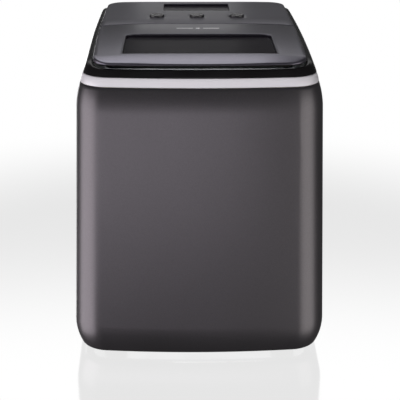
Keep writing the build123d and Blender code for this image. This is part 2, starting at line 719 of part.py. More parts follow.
def capillary_tube():
    return tube_run([(-68, 158, 132), (-68, 158, 255), (-68, 32, 255), (-40, 32, 255),
                     (-40, 32, PIPE_HEAD_Z), (-40, TRAY_Y + 18, PIPE_HEAD_Z)], 1.2, 4.0)


def hot_gas_valve():
    valve = rod_z(0, COMPRESSOR_Y, 171, 176, 2.5) + rod_z(0, COMPRESSOR_Y, 176, 182, 7)
    valve += block(-12, 12, COMPRESSOR_Y - 10, COMPRESSOR_Y + 10, 182, 204)
    return valve + rod_z(0, COMPRESSOR_Y, 204, 208, 4)


def hot_gas_pipe():
    return tube_run([(0, COMPRESSOR_Y, 208), (0, COMPRESSOR_Y, PIPE_HEAD_Z),
                     (0, TRAY_Y + 18, PIPE_HEAD_Z)], 3.0, 12.0)


def suction_pipe():
    return tube_run([(40, TRAY_Y + 18, PIPE_HEAD_Z), (40, 40, PIPE_HEAD_Z), (40, 40, 66),
                     (COMPRESSOR_X, 40, 66),
                     (COMPRESSOR_X, COMPRESSOR_Y - COMPRESSOR_RADIUS - 0.05, 66)], 3.0, 8.0)


def power_board():
    board = block(113, 114.6, 60, 150, 182, 252)
    board += block(96, 113, 70, 104, 190, 224)
    for y in (116, 132):
        board += rod_x(97, 113, y, 206, 7)
    board += block(104, 113, 112, 140, 226, 244)
    return board


def rear_cover():
    cover = block(-COVER_HALF_WIDTH, COVER_HALF_WIDTH, COVER_FACE_Y - 2.3, COVER_FACE_Y,
                  COVER_Z, COVER_TOP_Z)
    for index in range(11):
        z = 55 + index * 8
        cover -= block(FAN_X - 42, FAN_X + 42, BACK_Y - 5, BACK_Y + 1, z - 2, z + 2)
    for index in range(10):
        z = 160 + index * 8
        cover -= block(-88, 88, BACK_Y - 5, BACK_Y + 1, z - 2, z + 2)
    cover -= block(INLET_X - 16, INLET_X + 16, BACK_Y - 5, BACK_Y + 1, INLET_Z - 12, INLET_Z + 12)
    cover -= rod_y(DRAIN_X, BACK_Y - 5, BACK_Y + 1, DRAIN_Z, 10.5)
    for screw in cover_screws():
        cover -= screw
    return cover


def cover_screws():
    screws = []
    for x in (-93, 93):
        for z in (84, 148, 246):
            head = rod_y(x, COVER_FACE_Y - 1.2, COVER_FACE_Y - 0.1, z, 3.2)
            screws.append(head + rod_y(x, 164, COVER_FACE_Y - 1.2, z, 1.6))
    return screws


def power_inlet():
    inlet = block(INLET_X - 15, INLET_X + 15, 151, 172, INLET_Z - 11, INLET_Z + 11)
    inlet += block(INLET_X - 15.7, INLET_X + 15.7, 172, COVER_FACE_Y, INLET_Z - 11.7, INLET_Z + 11.7)
    inlet -= block(INLET_X - 12.2, INLET_X + 12.2, 156, BACK_Y + 1, INLET_Z - 8.2, INLET_Z + 8.2)
    for pin in inlet_pins():
        inlet -= pin
    return inlet


def inlet_pins():
    places = ((-7, 1.5), (0, 4.0), (7, 1.5))
    return [block(INLET_X + x - 1, INLET_X + x + 1, 148, 171, INLET_Z + z - 2, INLET_Z + z + 2)
            for x, z in places]


def drain_outlet():
    x = DRAIN_X
    spout = rod_y(x, 155, 167, DRAIN_Z, 7.5) + rod_y(x, 165, 168, DRAIN_Z, 10)
    return spout - rod_y(x, 154, 169, DRAIN_Z, 5)


def drain_hose():
    x = DRAIN_X
    return tube_run([(-94, -60, 126), (-115, -60, 126), (-115, -60, DRAIN_Z),
                     (-115, 148, DRAIN_Z), (x, 148, DRAIN_Z), (x, 155, DRAIN_Z)], 4.5, 5.5)


def drain_plug():
    x = DRAIN_X
    plug = rod_y(x, 158, 170, DRAIN_Z, 5 - RUNNING_GAP)
    plug += rod_y(x, 169.8, COVER_FACE_Y - 0.3, DRAIN_Z, 9.5)
    return plug - block(x - 9, x - 1.2, 172, 176, DRAIN_Z - 6, DRAIN_Z + 6) \
        - block(x + 1.2, x + 9, 172, 176, DRAIN_Z - 6, DRAIN_Z + 6)


def drain_seal():
    x = DRAIN_X
    return rod_y(x, 168.2, 169.8, DRAIN_Z, 8) - rod_y(x, 168, 170, DRAIN_Z, 5)


def save(name, shape):
    solids = list(shape) if isinstance(shape, (list, tuple)) else shape.solids()
    if len(solids) == 1:
        export_step(solids[0], f"parts/{name}.step")
    else:
        export_step(Compound(children=solids), f"parts/{name}.step")


def main():
    os.makedirs("parts", exist_ok=True)
    makers = [
        body_shell, trim_band, top_frame, control_panel, display_lens, display_module,
        control_board, button_switches, inner_liner, liner_insulation, base_plate, rubber_feet,
        foot_screws, rear_cover, cover_screws, power_inlet, inlet_pins, drain_outlet, drain_hose,
        drain_plug, drain_seal, compressor, compressor_grommets, compressor_bolts,
        condenser_fins, condenser_tube, fan_shroud, fan_motor, fan_rotor, filter_drier,
        discharge_pipe, liquid_pipe, capillary_tube, suction_pipe, hot_gas_valve, hot_gas_pipe,
        evaporator, evaporator_hanger, freezing_fingers, tray_motor, water_tray, tray_shafts,
        ice_shovel, ice_basket, ice_level_sensors, water_level_sensor, water_pump,
        pump_impeller, water_hose, power_board, lid_shell, lid_window, lid_inner_frame,
        lid_seal, lid_badge, hinge_pins, hinge_brackets,
    ]
    for maker in makers:
        save(maker.__name__, maker())
    for name, x in zip(("power_button", "select_button", "clean_button"), button_places()):
        save(name, push_button(x))


main()
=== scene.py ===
# %% [markdown]
# # A countertop ice maker
# The machine is a rounded cabinet of painted plastic with a pale trim band, a gloss black
# frame, a hinged lid with a smoked window, and a control panel with three push buttons.
# The working model comes in as a fixed frame: its parts keep their places, and this lesson
# gives them their looks. The shells that everyone sees are modelled again with smooth walls
# and rounded edges, and the parts inside keep their shapes and get better materials.

# %% Load the frame
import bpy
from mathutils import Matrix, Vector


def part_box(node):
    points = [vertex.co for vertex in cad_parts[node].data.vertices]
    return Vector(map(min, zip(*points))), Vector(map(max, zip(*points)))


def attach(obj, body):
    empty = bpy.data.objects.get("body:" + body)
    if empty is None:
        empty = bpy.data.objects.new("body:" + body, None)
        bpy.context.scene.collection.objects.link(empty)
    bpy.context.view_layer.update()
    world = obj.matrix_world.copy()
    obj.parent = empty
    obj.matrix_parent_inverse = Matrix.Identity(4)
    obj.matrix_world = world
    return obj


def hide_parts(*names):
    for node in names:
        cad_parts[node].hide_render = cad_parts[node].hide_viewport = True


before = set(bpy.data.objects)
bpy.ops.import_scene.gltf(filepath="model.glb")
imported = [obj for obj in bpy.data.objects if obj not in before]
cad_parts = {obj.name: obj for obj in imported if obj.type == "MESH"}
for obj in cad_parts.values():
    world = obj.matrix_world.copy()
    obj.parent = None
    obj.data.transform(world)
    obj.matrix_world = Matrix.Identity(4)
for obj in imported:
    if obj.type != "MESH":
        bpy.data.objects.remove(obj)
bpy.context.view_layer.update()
print("nodes:", len(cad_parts))

# %% [markdown]
# ## Modules and units
# Blender works in metres. A size that is easier to think of in millimetres is multiplied
# by `MM`.

# %% Other modules and units
import math
import bmesh
import bpy
from mathutils import Euler, Matrix, Vector

MM = 0.001
TAU = 2 * math.pi
print("one millimetre is", MM, "m")

# %% [markdown]
# ## Sizes
# Every place is measured from the frame, so a new piece always meets its neighbours. The
# cabinet's walls lean out a little towards the base, curve in at the shoulder under the
# trim band and tuck in at the base, as a moulded shell does to leave its mould.

# %% Measure the frame
shell_low, shell_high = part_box("body_shell")
band_low, band_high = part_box("trim_band")
ring_low, ring_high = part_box("top_frame")
lid_low, lid_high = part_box("lid_shell")
panel_low, panel_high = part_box("control_panel")
window_low, window_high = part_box("lid_window")
lens_low, lens_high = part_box("display_lens")
button_low, button_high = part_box("select_button")
cover_low, cover_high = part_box("rear_cover")
TOP_Z = lid_high.z
LIP_Z = lid_low.z
BASE_Z = shell_low.z
BAND_Z = band_low.z
BAND_TOP_Z = band_high.z
RAIL_Z = 308 * MM
HALF_DEPTH = shell_high.y
SIDE_BOW = 2.2 * MM
SIDE_LEAN = 6.6 * MM
BASE_HALF_WIDTH = shell_high.x - SIDE_BOW
WAIST_HALF_WIDTH = BASE_HALF_WIDTH - SIDE_LEAN
LID_HALF_WIDTH = lid_high.x - SIDE_BOW
WALL = 2.5 * MM
BOW = 8.5 * MM
LID_BOW = 6.2 * MM
REAR_SHARE = 0.5
print("cabinet", [round(v / MM, 1) for v in shell_high - shell_low], "mm")

# %% [markdown]
# ## The cabinet's outline
# At any height the cabinet is a rounded rectangle whose front edge bows out. `tuck` says how
# far the wall curves in at a height: on an arc at the shoulder, and on a tighter one at
# the base, where the last few millimetres roll in faster still.

# %% Wall profile
BASE_TUCK_Z = 36 * MM
BASE_ARC = 60 * MM
BASE_EDGE_Z = 9 * MM
BASE_EDGE_ROLL = 5
SHOULDER_Z = 260 * MM
SHOULDER_ARC = 86 * MM
BAND_TOP_TUCK = 7 * MM
CORNER = 27 * MM
CORNER_SHRINK = 0.6


def arc_drop(run, radius):
    return radius - math.sqrt(radius ** 2 - run ** 2)


def tuck(z):
    if z > BAND_Z:
        start = arc_drop(BAND_Z - SHOULDER_Z, SHOULDER_ARC)
        share = (z - BAND_Z) / (BAND_TOP_Z - BAND_Z)
        return start + share * (BAND_TOP_TUCK - start)
    if z > SHOULDER_Z:
        return arc_drop(z - SHOULDER_Z, SHOULDER_ARC)
    if z < BASE_TUCK_Z:
        edge = max(BASE_EDGE_Z - z, 0) / MM
        return arc_drop(BASE_TUCK_Z - z, BASE_ARC) + edge ** 2 / BASE_EDGE_ROLL * MM
    return 0


def half_width(z):
    share = min(max((SHOULDER_Z - z) / (SHOULDER_Z - BASE_TUCK_Z), 0), 1)
    return WAIST_HALF_WIDTH + share * (BASE_HALF_WIDTH - WAIST_HALF_WIDTH)


print("tuck at the band", round(tuck(BAND_Z) / MM, 2), "mm")

# %% [markdown]
# ## Rings
# The big shells are stacks of closed rings joined by bridges. One ring is a single square
# face whose corners are bevelled round and whose long edges are subdivided, and then the
# face is dropped and its edges stay. Rings made the same way have the same number of
# points, so a bridge between two of them is clean.

# %% Ring helper
CORNER_STEPS = 14
EDGE_CUTS = 15
SHORTEST_SIDE = 8 * MM


def ring(bm, z, half_x, front_y, back_y, front_radius, back_radius, bow=0, swell=0,
         keep_face=False):
    """A closed rounded rectangle at height z; returns its edges, or its face."""
    square = bmesh.ops.create_grid(bm, x_segments=1, y_segments=1, size=1)["verts"]
    for v in square:
        v.co = (half_x if v.co.x > 0 else -half_x, back_y if v.co.y > 0 else front_y, z)
    middle = (front_y + back_y) / 2
    rear = [v for v in square if v.co.y > middle]
    front = [v for v in square if v.co.y < middle]
    for ends, radius in ((rear, back_radius), (front, front_radius)):
        made = bmesh.ops.bevel(bm, geom=ends, offset=radius, segments=CORNER_STEPS,
                               profile=0.5, affect="VERTICES", material=-1)
    face = made["verts"][0].link_faces[0]
    corner_step = 4 * front_radius / CORNER_STEPS
    sides = [e for e in face.edges if e.calc_length() > max(corner_step, SHORTEST_SIDE)]
    bmesh.ops.subdivide_edges(bm, edges=sides, cuts=EDGE_CUTS)
    for v in face.verts:
        along = (v.co.y - middle) / (back_y - middle)
        across = v.co.x / half_x
        v.co.x += swell * across * (1 - along ** 2)
        if along < 0:
            v.co.y += bow * across ** 2
    if keep_face:
        return face
    edges = list(face.edges)
    bmesh.ops.delete(bm, geom=[face], context="FACES_ONLY")
    return edges


def bridge(bm, rings, closed=False):
    """Joins each ring to the next with faces; closed joins the last to the first. Two rings
    at exactly the same height can be joined crosswise, so each step changes the height."""
    pairs = list(zip(rings, rings[1:]))
    if closed:
        pairs.append((rings[-1], rings[0]))
    for a, b in pairs:
        bmesh.ops.bridge_loops(bm, edges=a + b)


def cabinet_ring(bm, z, extra=0):
    """A ring on the cabinet's wall at height z, moved in by an extra distance."""
    inset = tuck(z) + extra
    radius = CORNER - CORNER_SHRINK * inset
    return ring(bm, z, half_width(z) - inset, -HALF_DEPTH + inset,
                HALF_DEPTH - REAR_SHARE * inset, radius, radius, BOW, SIDE_BOW)


print("points on one ring:", 4 * (CORNER_STEPS + 1 + EDGE_CUTS))

# %% [markdown]
# ## Materials
# A finish is a small tree of nodes. `Value` wraps one output socket, so that a mask or a
# grain is written as plain arithmetic, and `Finish.node` makes any other node: its settings
# first, then the values or links of its sockets.

# %% Node helpers
class Value:
    """A number in a material's tree; Python's operators add Math nodes."""

    def __init__(self, finish, output):
        self.finish = finish
        self.output = output

    def math(self, operation, *others):
        return self.finish.node("ShaderNodeMath", {"operation": operation}, self, *others)

    def __add__(self, other):
        return self.math("ADD", other)

    def __sub__(self, other):
        return self.math("SUBTRACT", other)

    def __mul__(self, other):
        return self.math("MULTIPLY", other)

    def __rsub__(self, other):
        return self.finish.node("ShaderNodeMath", {"operation": "SUBTRACT"}, other, self)

    __radd__ = __add__
    __rmul__ = __mul__

    def ramp(self, low, high):
        """0 below low, 1 above high, and a smooth step between."""
        return self.finish.node("ShaderNodeMapRange", {"interpolation_type": "SMOOTHSTEP"},
                                self, low, high)


class Finish:
    """A material with one Principled shader and the nodes that feed it."""

    def __init__(self, name, colour, roughness, metallic=0.0, **settings):
        self.material = bpy.data.materials.new(name)
        self.material.use_nodes = True
        self.tree = self.material.node_tree
        self.shader = self.tree.nodes["Principled BSDF"]
        self.set("Base Color", (*colour, 1))
        self.set("Roughness", roughness)
        self.set("Metallic", metallic)
        for socket, value in settings.items():
            self.set(socket.replace("_", " "), value)
        place = self.tree.nodes.new("ShaderNodeTexCoord")
        self.place = Value(self, place.outputs["Object"])

    def set(self, socket, value):
        target = self.shader.inputs[socket]
        if isinstance(value, Value):
            self.tree.links.new(value.output, target)
        else:
            target.default_value = value

    def node(self, kind, settings, *values, **named):
        node = self.tree.nodes.new(kind)
        output = settings.pop("output", 0)
        for key, setting in settings.items():
            setattr(node, key, setting)
        pairs = list(zip(node.inputs, values))
        pairs += [(node.inputs[key.replace("_", " ")], value) for key, value in named.items()]
        for socket, value in pairs:
            if isinstance(value, Value):
                self.tree.links.new(value.output, socket)
            else:
                socket.default_value = value
        return Value(self, node.outputs[output])

    def noise(self, scale, detail=4, stretch=(1, 1, 1)):
        """Cloudy noise from 0 to 1; scale is in waves per metre."""
        place = self.node("ShaderNodeMapping", {}, self.place, Scale=stretch)
        return self.node("ShaderNodeTexNoise", {}, Vector=place, Scale=scale, Detail=detail)

    def cells(self, scale):
        """A random number for each small cell."""
        colour = self.node("ShaderNodeTexVoronoi", {"output": 1}, Vector=self.place, Scale=scale)
        return self.node("ShaderNodeSeparateColor", {}, colour)

    def mix(self, share, dark, light):
        """From one colour to another; the share may vary over the surface."""
        node = self.tree.nodes.new("ShaderNodeMix")
        node.data_type = "RGBA"
        self.tree.links.new(share.output, node.inputs["Factor"])
        for socket, colour in ((node.inputs[6], dark), (node.inputs[7], light)):
            if isinstance(colour, Value):
                self.tree.links.new(colour.output, socket)
            else:
                socket.default_value = (*colour, 1)
        return Value(self, node.outputs[2])

    def bump(self, height, depth, strength):
        normal = self.node("ShaderNodeBump", {}, Height=height, Distance=depth,
                           Strength=strength)
        self.set("Normal", normal)


# %% [markdown]
# ### Metallic paint
# The cabinet is plastic with a dark gunmetal paint. Such paint holds fine metal flakes, a
# little different in brightness from each other, under a satin coat that is never quite
# even: wide soft clouds of roughness show where it was sprayed and wiped.

# %% Metallic paint
FLAKES_PER_METRE = 2600
SPRAY_CLOUDS = 9
WIPE_MARKS = 26
PEEL = 900


def metallic_paint(name, colour, roughness, metallic, coat):
    finish = Finish(name, colour, roughness, metallic, Coat_Weight=coat, Coat_Roughness=0.22,
                    Specular_IOR_Level=0.3)
    flakes = finish.cells(FLAKES_PER_METRE)
    clouds = finish.noise(SPRAY_CLOUDS, 3)
    dark = [c * 0.86 for c in colour]
    light = [c * 1.16 for c in colour]
    finish.set("Base Color", finish.mix(flakes * 0.6 + clouds * 0.4, dark, light))
    smears = finish.noise(WIPE_MARKS, 5, (1, 1, 0.35))
    finish.set("Roughness", roughness - 0.05 + clouds * 0.05 + smears * 0.05)
    finish.bump(finish.noise(PEEL, 2), 0.02 * MM, 0.25)
    return finish.material


cabinet_paint = metallic_paint("cabinet_paint", (0.105, 0.098, 0.108), 0.38, 0.93, 0.10)
lid_paint = metallic_paint("lid_paint", (0.102, 0.096, 0.121), 0.30, 0.88, 0.10)
print(cabinet_paint.name, lid_paint.name)

# %% [markdown]
# ### Trim and black plastic
# The trim band is a pale silver lacquer with a faint brushed grain along its length. The
# frame over it is polished black plastic: almost a mirror, with a fine orange peel and
# a few dusty clouds that make its gloss uneven.

# %% Trim silver and gloss black
def trim_silver():
    finish = Finish("trim_silver", (0.57, 0.55, 0.59), 0.34, 0.15)
    grain = finish.noise(240, 3, (0.05, 0.05, 6))
    clouds = finish.noise(14, 3)
    finish.set("Base Color", finish.mix(grain * 0.5 + clouds * 0.5, (0.52, 0.50, 0.54),
                                        (0.62, 0.60, 0.64)))
    finish.set("Roughness", 0.28 + grain * 0.12)
    finish.bump(grain, 0.02 * MM, 0.3)
    return finish.material


def gloss_plastic(name, colour, roughness=0.12, shine=0.5):
    finish = Finish(name, colour, roughness, 0.0, Specular_IOR_Level=shine)
    clouds = finish.noise(30, 4)
    lighter = [c + 0.006 for c in colour]
    finish.set("Base Color", finish.mix(clouds, colour, lighter))
    finish.set("Roughness", roughness - 0.03 + clouds * 0.08)
    finish.bump(finish.noise(420, 2), 0.02 * MM, 0.2)
    return finish.material


trim_paint = trim_silver()
frame_black = gloss_plastic("frame_black", (0.003, 0.0025, 0.003), 0.16, 0.12)
print(trim_paint.name, frame_black.name)

# %% [markdown]
# ### Moulded plastic, rubber, metal
# Inside, plastics have the fine even grain of a textured mould and soft clouds of tone.
# Rubber is rougher, with a coarser grain. Copper pipes dull and darken in patches. Fins and
# plates show rolling lines along one direction.

# %% Plain materials
def moulded_plastic(name, colour, roughness=0.5, grain=0.05 * MM):
    finish = Finish(name, colour, roughness)
    tone = finish.noise(35, 4)
    dark = [c * 0.9 for c in colour]
    light = [min(c * 1.07, 1) for c in colour]
    finish.set("Base Color", finish.mix(tone, dark, light))
    finish.set("Roughness", roughness - 0.06 + tone * 0.12)
    finish.bump(finish.noise(1500, 2), grain, 0.35)
    return finish.material


def metal(name, colour, roughness, stretch=(1, 1, 12), patches=0.25):
    finish = Finish(name, colour, roughness, 1.0)
    lines = finish.noise(180, 3, stretch)
    stains = finish.noise(22, 5).ramp(0.45, 0.75)
    dark = [c * (1 - patches) for c in colour]
    finish.set("Base Color", finish.mix(stains * 0.7 + lines * 0.3, colour, dark))
    finish.set("Roughness", roughness + stains * 0.15 + lines * 0.08)
    finish.bump(lines, 0.02 * MM, 0.3)
    return finish.material


white_plastic = moulded_plastic("white_plastic", (0.62, 0.64, 0.66), 0.38)
black_plastic = moulded_plastic("black_plastic", (0.018, 0.018, 0.020), 0.52)
grey_plastic = moulded_plastic("grey_plastic", (0.30, 0.31, 0.33), 0.42)
rubber_black = moulded_plastic("rubber_black", (0.022, 0.022, 0.022), 0.75, 0.1 * MM)
silicone = moulded_plastic("silicone", (0.62, 0.63, 0.62), 0.30)
foam_cream = moulded_plastic("foam_cream", (0.66, 0.62, 0.48), 0.85, 0.4 * MM)
board_green = moulded_plastic("board_green", (0.02, 0.10, 0.05), 0.45)
compressor_black = gloss_plastic("compressor_black", (0.012, 0.012, 0.013), 0.3)
copper = metal("copper", (0.80, 0.40, 0.25), 0.28)
brass = metal("brass", (0.72, 0.55, 0.25), 0.30)
nickel = metal("nickel", (0.72, 0.71, 0.68), 0.18, (1, 1, 1), 0.1)
zinc = metal("zinc", (0.58, 0.58, 0.60), 0.34)
steel_sheet = metal("steel_sheet", (0.50, 0.51, 0.52), 0.40, (12, 1, 1))
fin_aluminium = metal("fin_aluminium", (0.78, 0.78, 0.79), 0.35)
print("materials so far:", len(bpy.data.materials))

# %% [markdown]
# ### Smoked plastic
# The lid's window and the display's lens are dark tinted plastic. Almost no light comes
# back through them, so they are nearly opaque, with a clean gloss and the faint haze of
# wiping.

# %% Smoked plastic
def smoked(name, colour, clear, roughness):
    finish = Finish(name, colour, roughness, 0.0, Specular_IOR_Level=0.18, IOR=1.3)
    haze = finish.noise(18, 5)
    finish.set("Base Color", finish.mix(haze, colour, [c * 1.3 for c in colour]))
    finish.set("Roughness", roughness - 0.02 + haze * 0.06)
    finish.set("Alpha", 1 - clear * (0.85 + haze * 0.3))
    return finish.material


window_smoke = smoked("window_smoke", (0.010, 0.008, 0.012), 0.10, 0.16)
display_smoke = smoked("display_smoke", (0.016, 0.013, 0.018), 0.05, 0.22)
print(window_smoke.name, display_smoke.name)

# %% [markdown]
# ### Finishes of the parts inside
# Each part that keeps its shape gets the material it is really made of.

# %% Assign finishes to the frame's parts
FINISHES = {
    white_plastic: ["inner_liner", "ice_basket", "evaporator_hanger"],
    black_plastic: ["lid_inner_frame", "hinge_brackets", "rear_cover", "power_inlet",
                    "fan_shroud", "fan_rotor", "drain_outlet", "display_module",
                    "water_level_sensor", "ice_level_sensors", "button_switches"],
    grey_plastic: ["water_tray", "ice_shovel", "water_pump", "pump_impeller", "drain_plug",
                   "tray_motor"],
    foam_cream: ["liner_insulation"],
    steel_sheet: ["base_plate", "fan_motor"],
    zinc: ["foot_screws", "cover_screws", "compressor_bolts", "hinge_pins", "tray_shafts"],
    rubber_black: ["rubber_feet", "compressor_grommets", "drain_seal", "lid_seal"],
    silicone: ["water_hose", "drain_hose"],
    compressor_black: ["compressor"],
    copper: ["condenser_tube", "filter_drier", "discharge_pipe", "liquid_pipe",
             "capillary_tube", "suction_pipe", "hot_gas_pipe"],
    fin_aluminium: ["condenser_fins"],
    brass: ["hot_gas_valve", "inlet_pins"],
    nickel: ["evaporator", "freezing_fingers"],
    board_green: ["control_board", "power_board"],
}
for material, names in FINISHES.items():
    for name in names:
        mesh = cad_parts[name].data
        mesh.materials.clear()
        mesh.materials.append(material)
print("finished", sum(len(names) for names in FINISHES.values()), "parts")

# %% [markdown]
# ## Making a piece
# A finished piece sits at the origin with its place in its mesh. It rides on a body, hides
# the frame's parts that it replaces, and gets smooth shading that breaks at sharp edges.

# %% Piece helper
def piece(name, bm, body, material, replaces=(), wall=0, edge=0.5 * MM, steps=2,
          crease=38):
    bmesh.ops.remove_doubles(bm, verts=bm.verts, dist=1e-6)
    bmesh.ops.recalc_face_normals(bm, faces=bm.faces)
    mesh = bpy.data.meshes.new(name)
    bm.to_mesh(mesh)
    bm.free()
    mesh.materials.append(material)
    obj = bpy.data.objects.new(name, mesh)
    bpy.context.scene.collection.objects.link(obj)
    if wall > 0:
        solid = obj.modifiers.new("wall", "SOLIDIFY")
        solid.thickness = wall
        solid.offset = -1
    if edge > 0:
        rounding = obj.modifiers.new("rounding", "BEVEL")
        rounding.width = edge
        rounding.segments = steps
        rounding.limit_method = "ANGLE"
        rounding.angle_limit = math.radians(crease)
    for polygon in mesh.polygons:
        polygon.use_smooth = True
    mesh.set_sharp_from_angle(angle=math.radians(crease))
    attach(obj, body)
    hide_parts(*replaces)
    print(name, len(mesh.polygons), "faces")
    return obj


# %% [markdown]
# ## Cabinet
# The real shell is one deep moulding with an opening at the back for the service cover. Here
# it is a stack of rings up the wall, close together where the wall curves. Two cuts each way
# mark out the opening, its faces go, and a solidify modifier gives the wall its thickness.

# %% Cabinet shell
WALL_HEIGHTS = [6, 6.6, 7.5, 9, 11, 14, 18, 22, 26, 31, 36, 60, 100, 140, 180, 220, 250,
                260, 264, 268, 272, 276, 280, 284, 286.4]
COVER_GAP = 0.3 * MM
REAR_WALL = 2 * MM


def cabinet_shell():
    bm = bmesh.new()
    rings = [cabinet_ring(bm, z * MM) for z in WALL_HEIGHTS]
    rings.append(cabinet_ring(bm, BAND_Z - 0.25 * MM, 0.5 * MM))
    bridge(bm, rings)
    for point, normal in (((cover_high.x + COVER_GAP, 0, 0), (1, 0, 0)),
                          ((cover_low.x - COVER_GAP, 0, 0), (1, 0, 0)),
                          ((0, 0, cover_high.z + COVER_GAP), (0, 0, 1)),
                          ((0, 0, cover_low.z - COVER_GAP), (0, 0, 1))):
        bmesh.ops.bisect_plane(bm, geom=bm.verts[:] + bm.edges[:] + bm.faces[:],
                               plane_co=point, plane_no=normal)
    inside = []
    for face in bm.faces:
        middle = face.calc_center_median()
        if (middle.y > HALF_DEPTH - REAR_WALL and abs(middle.x) < cover_high.x
                and cover_low.z < middle.z < cover_high.z):
            inside.append(face)
    bmesh.ops.delete(bm, geom=inside, context="FACES")
    return bm


piece("cabinet_shell", cabinet_shell(), "cabinet", cabinet_paint, ["body_shell"],
      WALL, 0.4 * MM)

# %% [markdown]
# ## Trim band
# The band is a closed ring with a crowned face and small rolled edges, so a bright line runs
# along its top and bottom. Its profile is a list of heights above its foot and distances in
# from the wall, in millimetres, and one ring is made for each.

# %% Trim band
BAND_DEPTH = 11.5 * MM


def trim_band():
    bm = bmesh.new()
    profile = [(0.2, 1.1), (0.15, 0.45), (0.6, 0.0), (2.5, -0.25), (4.5, -0.3), (6.5, -0.2),
               (8.3, 0.05), (8.8, 0.5), (8.75, 1.2)]
    rings = [cabinet_ring(bm, BAND_Z + up * MM, inset * MM) for up, inset in profile]
    for z in (BAND_TOP_Z - 0.6 * MM, BAND_Z + 0.5 * MM):
        rings.append(cabinet_ring(bm, z, BAND_DEPTH - tuck(z)))
    bridge(bm, rings, closed=True)
    return bm


piece("trim_band_ring", trim_band(), "cabinet", trim_paint, ["trim_band"],
      0, 0)

# %% [markdown]
# ## Top frame
# The black frame rises from the band in a slope to a narrow shoulder, and drops again into
# the opening where the lid lies. Outer rings follow the cabinet's wall and inner rings follow
# the lid's edge. Then everything above the frame's foot sinks towards the front, where the
# rail is lower, so that fingers can reach under the lid's lip.

# %% Top frame
LOW_RAIL_Z = 304.0 * MM
RAIL_FOOT_Z = 300 * MM
RAIL_SLOPE_START = 125 * MM
RAIL_SLOPE_END = 160 * MM
OPENING_RADIUS = 18 * MM


def smooth_step(value, low, high):
    share = min(max((value - low) / (high - low), 0), 1)
    return share * share * (3 - 2 * share)


def opening_ring(bm, z, grow):
    radius = OPENING_RADIUS + grow
    return ring(bm, z, LID_HALF_WIDTH + grow, lid_low.y - grow, panel_high.y + grow, radius,
                radius, LID_BOW, SIDE_BOW)


def top_frame():
    bm = bmesh.new()
    rings = []
    for z, inset in ((296.6, 8.0), (296.7, 7.4), (297.2, 7.1), (299, 7.7), (301, 8.4),
                     (303, 9.2), (304.6, 9.8), (305.9, 10.5), (306.9, 11.2), (307.6, 12.0),
                     (307.95, 12.8)):
        rings.append(cabinet_ring(bm, z * MM, inset * MM - tuck(z * MM)))
    for z, grow in ((307.9, 1.3), (307.5, 0.9), (307.0, 0.8), (303.0, 0.8), (296.6, 0.8)):
        rings.append(opening_ring(bm, z * MM, grow * MM))
    bridge(bm, rings, closed=True)
    for v in bm.verts:
        drop = smooth_step(-v.co.y, RAIL_SLOPE_START, RAIL_SLOPE_END)
        lift = (v.co.z - RAIL_FOOT_Z) / (RAIL_Z - RAIL_FOOT_Z)
        if lift > 0:
            v.co.z -= lift * drop * (RAIL_Z - LOW_RAIL_Z)
    return bm


piece("top_frame_ring", top_frame(), "cabinet", frame_black, ["top_frame"],
      0, 0, crease=50)

# %% [markdown]
# ### Panel deck
# Under the control panel the frame has a deck, and a wall across the machine closes it off
# from the lid's opening. Both show only when the lid is up. They are plain moulded plates
# with a small bevel, screwed to the frame from below on the real machine.

# %% Panel deck
DECK_HALF_WIDTH = 104 * MM
DECK_THICKNESS = 2 * MM
DECK_WALL_TOP_Z = 307.4 * MM


def slab(bm, x0, x1, y0, y1, z0, z1):
    """A box between two corners, from a cube."""
    cube = bmesh.ops.create_cube(bm, size=1)["verts"]
    bmesh.ops.scale(bm, vec=(x1 - x0, y1 - y0, z1 - z0), verts=cube)
    bmesh.ops.translate(bm, vec=((x0 + x1) / 2, (y0 + y1) / 2, (z0 + z1) / 2), verts=cube)
    return cube


def panel_deck():
    bm = bmesh.new()
    wall_y = panel_low.y + 5.3 * MM
    deck_z = ring_low.z + DECK_THICKNESS
    slab(bm, -DECK_HALF_WIDTH, DECK_HALF_WIDTH, wall_y, wall_y + DECK_THICKNESS, deck_z,
         DECK_WALL_TOP_Z)
    slab(bm, -DECK_HALF_WIDTH, DECK_HALF_WIDTH, wall_y, panel_high.y - 6 * MM, ring_low.z,
         deck_z)
    return bm


piece("panel_deck", panel_deck(), "cabinet", black_plastic, [], 0, 0.3 * MM)

# %% [markdown]
# ## Lid and control panel
# Both are thin skins over the same gently crowned surface: flat in the middle, falling a few
# millimetres towards the sides, with a long slope down to the lid's front lip.
# `top_height` gives that surface, and `crown` moves every point of a flat skin to it.

# %% Crowned height
SLOPE_START_Y = window_low.y + 4 * MM
SIDE_FLAT = 50 * MM
SIDE_DROP = 2.2 * MM
SIDE_ROUNDNESS = 2.4
FRONT_DROP = 6.3 * MM
FRONT_ROUNDNESS = 1.25
BACK_FLAT_Y = 30 * MM
BACK_LEVELLING = 0.6
LEAST_EDGE = 0.9 * MM


def top_height(x, y):
    side = max((abs(x) - SIDE_FLAT) / (lid_high.x - SIDE_FLAT), 0)
    front = max((SLOPE_START_Y - y) / (SLOPE_START_Y - lid_low.y), 0)
    back = smooth_step(y, BACK_FLAT_Y, panel_high.y)
    side_fall = SIDE_DROP * side ** SIDE_ROUNDNESS * (1 - BACK_LEVELLING * back)
    drop = side_fall + FRONT_DROP * front ** FRONT_ROUNDNESS
    return TOP_Z - min(drop, TOP_Z - LIP_Z - LEAST_EDGE)


def crown(bm):
    for v in bm.verts:
        share = (v.co.z - LIP_Z) / (TOP_Z - LIP_Z)
        v.co.z = LIP_Z + share * (top_height(v.co.x, v.co.y) - LIP_Z)


print("lid height at its front corner", round(top_height(lid_high.x, lid_low.y) / MM, 1), "mm")

